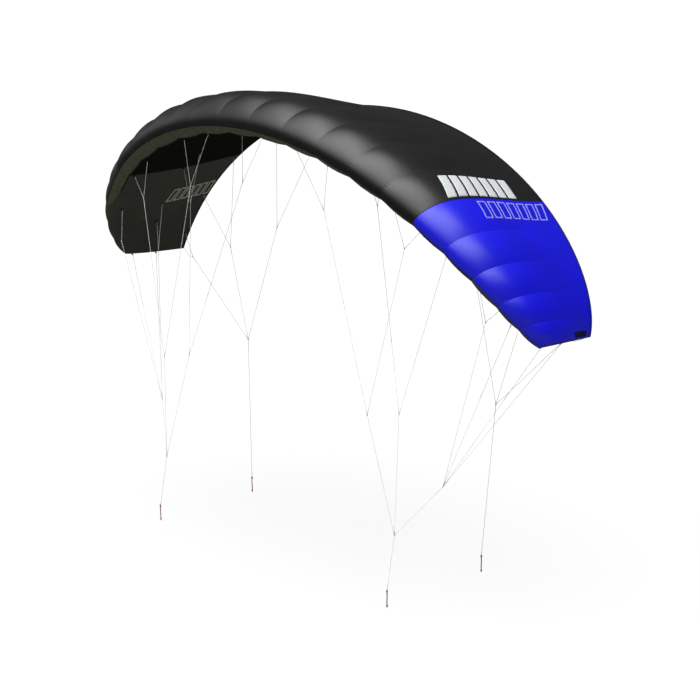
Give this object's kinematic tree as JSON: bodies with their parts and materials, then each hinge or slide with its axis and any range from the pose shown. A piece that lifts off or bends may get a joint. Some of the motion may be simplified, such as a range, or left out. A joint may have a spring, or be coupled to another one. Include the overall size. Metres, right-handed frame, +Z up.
{
  "type": "four-line ram-air kitesurf kite",
  "caption": "Arched ram-air foil kite with puffed cloth cells, a meshed intake band, a cascaded bridle, pull-down trailing edges and pigtails for the flying lines.",
  "frame": {"origin": "centre of the bounding box at the height of the lowest pigtail end", "axes": "+X along the span to the right tip, +Y from leading to trailing edge, +Z up"},
  "size_m": [4.5252, 1.3862, 3.2768],
  "materials": {
    "cloth_black": "satin",
    "cloth_blue": "satin",
    "cloth_grey": "satin",
    "cloth_olive_black": "matte",
    "cloth_olive_grey": "matte",
    "intake_net": "matte",
    "rib_cloth": "matte",
    "webbing": "matte",
    "line_grey": "satin",
    "line_white": "satin",
    "knot_cord": "satin",
    "cord_red": "satin",
    "cord_dark_red": "satin",
    "cord_dark": "satin",
    "patch": "matte"
  },
  "bodies": {
    "canopy": {"upper_skin_left": "cloth_grey", "upper_skin_centre": "cloth_black", "upper_skin_right": "cloth_blue", "lower_skin_left": "cloth_olive_grey", "lower_skin_centre": "cloth_olive_black", "lower_skin_right": "cloth_olive_grey", "intake_band": "intake_net", "plain_ribs": "rib_cloth", "bridle_ribs": "rib_cloth", "tip_ribs": "rib_cloth", "trailing_edge_centre": "cloth_black", "centre_rib_tails": "rib_cloth", "tip_patch": "patch", "front_tabs": "webbing", "upper_lines_a_left": "line_grey", "upper_lines_c_left": "line_grey", "middle_lines_left": "line_grey", "lower_lines_left": "line_white", "bridle_knots_left": "knot_cord", "front_knot_left": "knot_cord", "upper_lines_a_right": "line_grey", "upper_lines_c_right": "line_grey", "middle_lines_right": "line_grey", "lower_lines_right": "line_white", "bridle_knots_right": "knot_cord", "front_knot_right": "knot_cord"},
    "brake_left": {"brake_flap_left": "cloth_grey", "flap_ribs_left": "rib_cloth", "brake_tabs_left": "webbing", "brake_upper_lines_left": "line_grey", "brake_lower_lines_left": "line_grey", "brake_knots_left": "knot_cord", "rear_knot_left": "knot_cord"},
    "rear_line_left": {"rear_main_line_left": "line_grey"},
    "rear_loop_left": {"rear_pigtail_knot_left": "cord_dark_red"},
    "rear_tail_left": {"rear_pigtail_left": "cord_red"},
    "front_line_left": {"front_main_line_left": "line_white"},
    "front_loop_left": {"front_pigtail_knot_left": "knot_cord"},
    "front_tail_left": {"front_pigtail_left": "cord_red"},
    "brake_right": {"brake_flap_right": "cloth_blue", "flap_ribs_right": "rib_cloth", "brake_tabs_right": "webbing", "brake_upper_lines_right": "line_grey", "brake_lower_lines_right": "line_grey", "brake_knots_right": "knot_cord", "rear_knot_right": "knot_cord"},
    "rear_line_right": {"rear_main_line_right": "line_grey"},
    "rear_loop_right": {"rear_pigtail_knot_right": "cord_dark_red"},
    "rear_tail_right": {"rear_pigtail_right": "cord_dark"},
    "front_line_right": {"front_main_line_right": "line_white"},
    "front_loop_right": {"front_pigtail_knot_right": "knot_cord"},
    "front_tail_right": {"front_pigtail_right": "cord_dark"}
  },
  "joints": [
    {"name": "brake_pull_left", "type": "slide", "parent": "canopy", "child": "brake_left", "axis": [0.1564, 0, -0.9877], "range_m": [0, 0.1]},
    {"name": "front_line_swing_left", "type": "hinge", "parent": "canopy", "child": "front_line_left", "pos_m": [-1.2569, -0.37994, 0.48194], "axis": [1, 0, 0], "range_deg": [-30, 30]},
    {"name": "front_pigtail_pitch_left", "type": "hinge", "parent": "front_line_left", "child": "front_loop_left", "pos_m": [-1.25944, -0.45063, 0.112], "axis": [1, 0, 0], "range_deg": [-75, 75]},
    {"name": "front_pigtail_roll_left", "type": "hinge", "parent": "front_loop_left", "child": "front_tail_left", "pos_m": [-1.25944, -0.45063, 0.112], "axis": [0, 1, 0], "range_deg": [-60, 60]},
    {"name": "rear_line_swing_left", "type": "hinge", "parent": "brake_left", "child": "rear_line_left", "pos_m": [-1.33394, 0.47311, 1.22245], "axis": [1, 0, 0], "range_deg": [-30, 30]},
    {"name": "rear_pigtail_pitch_left", "type": "hinge", "parent": "rear_line_left", "child": "rear_loop_left", "pos_m": [-1.2569, 0.41858, 0.14782], "axis": [1, 0, 0], "range_deg": [-75, 75]},
    {"name": "rear_pigtail_roll_left", "type": "hinge", "parent": "rear_loop_left", "child": "rear_tail_left", "pos_m": [-1.2569, 0.41858, 0.14782], "axis": [0, 1, 0], "range_deg": [-60, 60]},
    {"name": "brake_pull_right", "type": "slide", "parent": "canopy", "child": "brake_right", "axis": [-0.1564, 0, -0.9877], "range_m": [0, 0.1]},
    {"name": "front_line_swing_right", "type": "hinge", "parent": "canopy", "child": "front_line_right", "pos_m": [1.2569, -0.37994, 0.48194], "axis": [1, 0, 0], "range_deg": [-30, 30]},
    {"name": "front_pigtail_pitch_right", "type": "hinge", "parent": "front_line_right", "child": "front_loop_right", "pos_m": [1.25944, -0.45063, 0.112], "axis": [1, 0, 0], "range_deg": [-75, 75]},
    {"name": "front_pigtail_roll_right", "type": "hinge", "parent": "front_loop_right", "child": "front_tail_right", "pos_m": [1.25944, -0.45063, 0.112], "axis": [0, 1, 0], "range_deg": [-60, 60]},
    {"name": "rear_line_swing_right", "type": "hinge", "parent": "brake_right", "child": "rear_line_right", "pos_m": [1.33394, 0.47311, 1.22245], "axis": [1, 0, 0], "range_deg": [-30, 30]},
    {"name": "rear_pigtail_pitch_right", "type": "hinge", "parent": "rear_line_right", "child": "rear_loop_right", "pos_m": [1.2569, 0.41858, 0.14782], "axis": [1, 0, 0], "range_deg": [-75, 75]},
    {"name": "rear_pigtail_roll_right", "type": "hinge", "parent": "rear_loop_right", "child": "rear_tail_right", "pos_m": [1.2569, 0.41858, 0.14782], "axis": [0, 1, 0], "range_deg": [-60, 60]}
  ]
}
